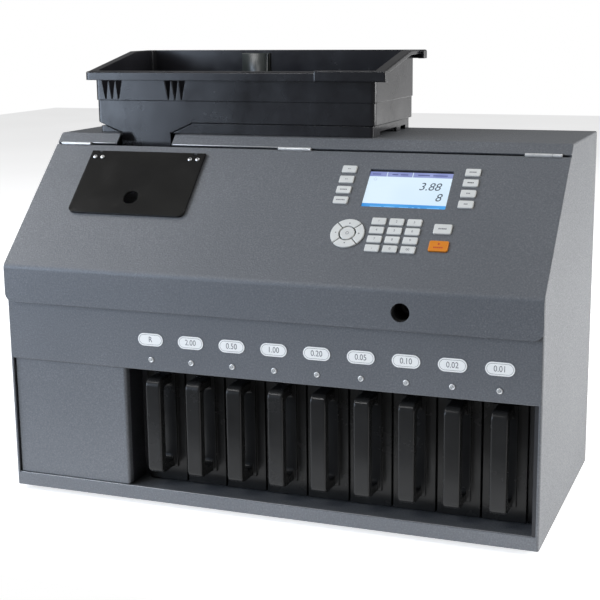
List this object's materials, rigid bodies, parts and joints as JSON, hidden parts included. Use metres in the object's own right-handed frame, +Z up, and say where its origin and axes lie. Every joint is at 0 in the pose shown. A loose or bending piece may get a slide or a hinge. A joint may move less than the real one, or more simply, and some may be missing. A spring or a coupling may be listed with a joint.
{
  "type": "coin sorting machine",
  "caption": "Bench-top coin counter and sorter: sloped hinged lid with keypad and display, tilting hopper tray on top, and a row of upright coin drawers below.",
  "frame": {"origin": "under the middle of the machine, on the plane its rubber feet stand on", "axes": "+X to the machine's right as seen from the front, -Y to the front where the drawers open, +Z up"},
  "size_m": [0.63, 0.322, 0.512],
  "materials": {
    "slate_paint": "textured powder coat",
    "dark_steel": "satin",
    "deck_steel": "brushed",
    "hinge_steel": "bright plated",
    "motor_metal": "machined",
    "disc_metal": "machined",
    "foot_rubber": "matte",
    "tray_plastic": "glossy, fine texture",
    "drawer_plastic": "satin gloss",
    "smoked_window": "smoked, glossy",
    "black_plastic": "matte",
    "rocker_plastic": "glossy",
    "board": "circuit board",
    "label_plastic": "glossy",
    "key_plastic": "satin",
    "start_key_plastic": "satin"
  },
  "bodies": {
    "cabinet": {"cabinet_shell": "slate_paint", "base_pan": "slate_paint", "rear_panel": "slate_paint", "front_fascia": "slate_paint", "blank_panel": "slate_paint", "drawer_rack": "dark_steel", "sorting_deck": "deck_steel", "coin_rail": "deck_steel", "coin_chutes": "dark_steel", "feeder_motor": "motor_metal", "power_unit": "dark_steel", "rubber_feet": "foot_rubber", "hopper_base": "tray_plastic", "lid_hinge_fixed": "hinge_steel", "label_plates": "label_plastic", "power_inlet": "black_plastic"},
    "lid": {"lid_panel": "slate_paint", "lid_hinge_moving": "hinge_steel", "window_hinges": "black_plastic", "control_board": "board"},
    "window": {"window_flap": "smoked_window"},
    "tray": {"hopper_tray": "tray_plastic"},
    "feeder": {"feeder_disc": "disc_metal"},
    "switch": {"power_switch": "rocker_plastic"},
    "reject_drawer_body": {"reject_drawer": "drawer_plastic"},
    "coin_drawer_1_body": {"coin_drawer_1": "drawer_plastic"},
    "coin_drawer_2_body": {"coin_drawer_2": "drawer_plastic"},
    "coin_drawer_3_body": {"coin_drawer_3": "drawer_plastic"},
    "coin_drawer_4_body": {"coin_drawer_4": "drawer_plastic"},
    "coin_drawer_5_body": {"coin_drawer_5": "drawer_plastic"},
    "coin_drawer_6_body": {"coin_drawer_6": "drawer_plastic"},
    "coin_drawer_7_body": {"coin_drawer_7": "drawer_plastic"},
    "coin_drawer_8_body": {"coin_drawer_8": "drawer_plastic"},
    "left_key_1_body": {"left_key_1": "key_plastic"},
    "left_key_2_body": {"left_key_2": "key_plastic"},
    "left_key_3_body": {"left_key_3": "key_plastic"},
    "left_key_4_body": {"left_key_4": "key_plastic"},
    "right_key_1_body": {"right_key_1": "key_plastic"},
    "right_key_2_body": {"right_key_2": "key_plastic"},
    "right_key_3_body": {"right_key_3": "key_plastic"},
    "right_key_4_body": {"right_key_4": "key_plastic"},
    "number_key_1_body": {"number_key_1": "key_plastic"},
    "number_key_2_body": {"number_key_2": "key_plastic"},
    "number_key_3_body": {"number_key_3": "key_plastic"},
    "number_key_4_body": {"number_key_4": "key_plastic"},
    "number_key_5_body": {"number_key_5": "key_plastic"},
    "number_key_6_body": {"number_key_6": "key_plastic"},
    "number_key_7_body": {"number_key_7": "key_plastic"},
    "number_key_8_body": {"number_key_8": "key_plastic"},
    "number_key_9_body": {"number_key_9": "key_plastic"},
    "number_key_dot_body": {"number_key_dot": "key_plastic"},
    "number_key_0_body": {"number_key_0": "key_plastic"},
    "number_key_double_zero_body": {"number_key_double_zero": "key_plastic"},
    "clear_key_body": {"clear_key": "key_plastic"},
    "start_key_body": {"start_key": "start_key_plastic"},
    "arrow_right_key_body": {"arrow_right_key": "key_plastic"},
    "arrow_up_key_body": {"arrow_up_key": "key_plastic"},
    "arrow_left_key_body": {"arrow_left_key": "key_plastic"},
    "arrow_down_key_body": {"arrow_down_key": "key_plastic"},
    "ok_key_body": {"ok_key": "key_plastic"}
  },
  "joints": [
    {"name": "lid_hinge", "type": "hinge", "parent": "cabinet", "child": "lid", "pos_m": [0, -0.02749, 0.40439], "axis": [-1, 0, 0], "range_deg": [0, 90]},
    {"name": "window_hinge", "type": "hinge", "parent": "lid", "child": "window", "pos_m": [-0.1845, -0.03851, 0.39622], "axis": [-1, 0, 0], "range_deg": [0, 55]},
    {"name": "tray_tilt", "type": "hinge", "parent": "cabinet", "child": "tray", "pos_m": [-0.262, 0.073, 0.4225], "axis": [0, -1, 0], "range_deg": [0, 22]},
    {"name": "feeder_spin", "type": "hinge", "parent": "cabinet", "child": "feeder", "pos_m": [-0.212, -0.04461, 0.3321], "axis": [0, -0.696, 0.7181], "continuous": true},
    {"name": "switch_rock", "type": "hinge", "parent": "cabinet", "child": "switch", "pos_m": [-0.255, 0.1485, 0.08], "axis": [0, 0, 1], "range_deg": [0, 12]},
    {"name": "reject_drawer_slide", "type": "slide", "parent": "cabinet", "child": "reject_drawer_body", "axis": [0, -1, 0], "range_m": [0, 0.2]},
    {"name": "coin_drawer_1_slide", "type": "slide", "parent": "cabinet", "child": "coin_drawer_1_body", "axis": [0, -1, 0], "range_m": [0, 0.2]},
    {"name": "coin_drawer_2_slide", "type": "slide", "parent": "cabinet", "child": "coin_drawer_2_body", "axis": [0, -1, 0], "range_m": [0, 0.2]},
    {"name": "coin_drawer_3_slide", "type": "slide", "parent": "cabinet", "child": "coin_drawer_3_body", "axis": [0, -1, 0], "range_m": [0, 0.2]},
    {"name": "coin_drawer_4_slide", "type": "slide", "parent": "cabinet", "child": "coin_drawer_4_body", "axis": [0, -1, 0], "range_m": [0, 0.2]},
    {"name": "coin_drawer_5_slide", "type": "slide", "parent": "cabinet", "child": "coin_drawer_5_body", "axis": [0, -1, 0], "range_m": [0, 0.2]},
    {"name": "coin_drawer_6_slide", "type": "slide", "parent": "cabinet", "child": "coin_drawer_6_body", "axis": [0, -1, 0], "range_m": [0, 0.2]},
    {"name": "coin_drawer_7_slide", "type": "slide", "parent": "cabinet", "child": "coin_drawer_7_body", "axis": [0, -1, 0], "range_m": [0, 0.2]},
    {"name": "coin_drawer_8_slide", "type": "slide", "parent": "cabinet", "child": "coin_drawer_8_body", "axis": [0, -1, 0], "range_m": [0, 0.2]},
    {"name": "left_key_1_press", "type": "slide", "parent": "lid", "child": "left_key_1_body", "axis": [0, 0.696, -0.7181], "range_m": [0, 0.0008], "stiffness_N_per_m": 300, "springref_m": -0.0002},
    {"name": "left_key_2_press", "type": "slide", "parent": "lid", "child": "left_key_2_body", "axis": [0, 0.696, -0.7181], "range_m": [0, 0.0008], "stiffness_N_per_m": 300, "springref_m": -0.0002},
    {"name": "left_key_3_press", "type": "slide", "parent": "lid", "child": "left_key_3_body", "axis": [0, 0.696, -0.7181], "range_m": [0, 0.0008], "stiffness_N_per_m": 300, "springref_m": -0.0002},
    {"name": "left_key_4_press", "type": "slide", "parent": "lid", "child": "left_key_4_body", "axis": [0, 0.696, -0.7181], "range_m": [0, 0.0008], "stiffness_N_per_m": 300, "springref_m": -0.0002},
    {"name": "right_key_1_press", "type": "slide", "parent": "lid", "child": "right_key_1_body", "axis": [0, 0.696, -0.7181], "range_m": [0, 0.0008], "stiffness_N_per_m": 300, "springref_m": -0.0002},
    {"name": "right_key_2_press", "type": "slide", "parent": "lid", "child": "right_key_2_body", "axis": [0, 0.696, -0.7181], "range_m": [0, 0.0008], "stiffness_N_per_m": 300, "springref_m": -0.0002},
    {"name": "right_key_3_press", "type": "slide", "parent": "lid", "child": "right_key_3_body", "axis": [0, 0.696, -0.7181], "range_m": [0, 0.0008], "stiffness_N_per_m": 300, "springref_m": -0.0002},
    {"name": "right_key_4_press", "type": "slide", "parent": "lid", "child": "right_key_4_body", "axis": [0, 0.696, -0.7181], "range_m": [0, 0.0008], "stiffness_N_per_m": 300, "springref_m": -0.0002},
    {"name": "number_key_1_press", "type": "slide", "parent": "lid", "child": "number_key_1_body", "axis": [0, 0.696, -0.7181], "range_m": [0, 0.0008], "stiffness_N_per_m": 300, "springref_m": -0.0002},
    {"name": "number_key_2_press", "type": "slide", "parent": "lid", "child": "number_key_2_body", "axis": [0, 0.696, -0.7181], "range_m": [0, 0.0008], "stiffness_N_per_m": 300, "springref_m": -0.0002},
    {"name": "number_key_3_press", "type": "slide", "parent": "lid", "child": "number_key_3_body", "axis": [0, 0.696, -0.7181], "range_m": [0, 0.0008], "stiffness_N_per_m": 300, "springref_m": -0.0002},
    {"name": "number_key_4_press", "type": "slide", "parent": "lid", "child": "number_key_4_body", "axis": [0, 0.696, -0.7181], "range_m": [0, 0.0008], "stiffness_N_per_m": 300, "springref_m": -0.0002},
    {"name": "number_key_5_press", "type": "slide", "parent": "lid", "child": "number_key_5_body", "axis": [0, 0.696, -0.7181], "range_m": [0, 0.0008], "stiffness_N_per_m": 300, "springref_m": -0.0002},
    {"name": "number_key_6_press", "type": "slide", "parent": "lid", "child": "number_key_6_body", "axis": [0, 0.696, -0.7181], "range_m": [0, 0.0008], "stiffness_N_per_m": 300, "springref_m": -0.0002},
    {"name": "number_key_7_press", "type": "slide", "parent": "lid", "child": "number_key_7_body", "axis": [0, 0.696, -0.7181], "range_m": [0, 0.0008], "stiffness_N_per_m": 300, "springref_m": -0.0002},
    {"name": "number_key_8_press", "type": "slide", "parent": "lid", "child": "number_key_8_body", "axis": [0, 0.696, -0.7181], "range_m": [0, 0.0008], "stiffness_N_per_m": 300, "springref_m": -0.0002},
    {"name": "number_key_9_press", "type": "slide", "parent": "lid", "child": "number_key_9_body", "axis": [0, 0.696, -0.7181], "range_m": [0, 0.0008], "stiffness_N_per_m": 300, "springref_m": -0.0002},
    {"name": "number_key_dot_press", "type": "slide", "parent": "lid", "child": "number_key_dot_body", "axis": [0, 0.696, -0.7181], "range_m": [0, 0.0008], "stiffness_N_per_m": 300, "springref_m": -0.0002},
    {"name": "number_key_0_press", "type": "slide", "parent": "lid", "child": "number_key_0_body", "axis": [0, 0.696, -0.7181], "range_m": [0, 0.0008], "stiffness_N_per_m": 300, "springref_m": -0.0002},
    {"name": "number_key_double_zero_press", "type": "slide", "parent": "lid", "child": "number_key_double_zero_body", "axis": [0, 0.696, -0.7181], "range_m": [0, 0.0008], "stiffness_N_per_m": 300, "springref_m": -0.0002},
    {"name": "clear_key_press", "type": "slide", "parent": "lid", "child": "clear_key_body", "axis": [0, 0.696, -0.7181], "range_m": [0, 0.0008], "stiffness_N_per_m": 300, "springref_m": -0.0002},
    {"name": "start_key_press", "type": "slide", "parent": "lid", "child": "start_key_body", "axis": [0, 0.696, -0.7181], "range_m": [0, 0.0008], "stiffness_N_per_m": 300, "springref_m": -0.0002},
    {"name": "arrow_right_key_press", "type": "slide", "parent": "lid", "child": "arrow_right_key_body", "axis": [0, 0.696, -0.7181], "range_m": [0, 0.0008], "stiffness_N_per_m": 300, "springref_m": -0.0002},
    {"name": "arrow_up_key_press", "type": "slide", "parent": "lid", "child": "arrow_up_key_body", "axis": [0, 0.696, -0.7181], "range_m": [0, 0.0008], "stiffness_N_per_m": 300, "springref_m": -0.0002},
    {"name": "arrow_left_key_press", "type": "slide", "parent": "lid", "child": "arrow_left_key_body", "axis": [0, 0.696, -0.7181], "range_m": [0, 0.0008], "stiffness_N_per_m": 300, "springref_m": -0.0002},
    {"name": "arrow_down_key_press", "type": "slide", "parent": "lid", "child": "arrow_down_key_body", "axis": [0, 0.696, -0.7181], "range_m": [0, 0.0008], "stiffness_N_per_m": 300, "springref_m": -0.0002},
    {"name": "ok_key_press", "type": "slide", "parent": "lid", "child": "ok_key_body", "axis": [0, 0.696, -0.7181], "range_m": [0, 0.0008], "stiffness_N_per_m": 300, "springref_m": -0.0002}
  ]
}
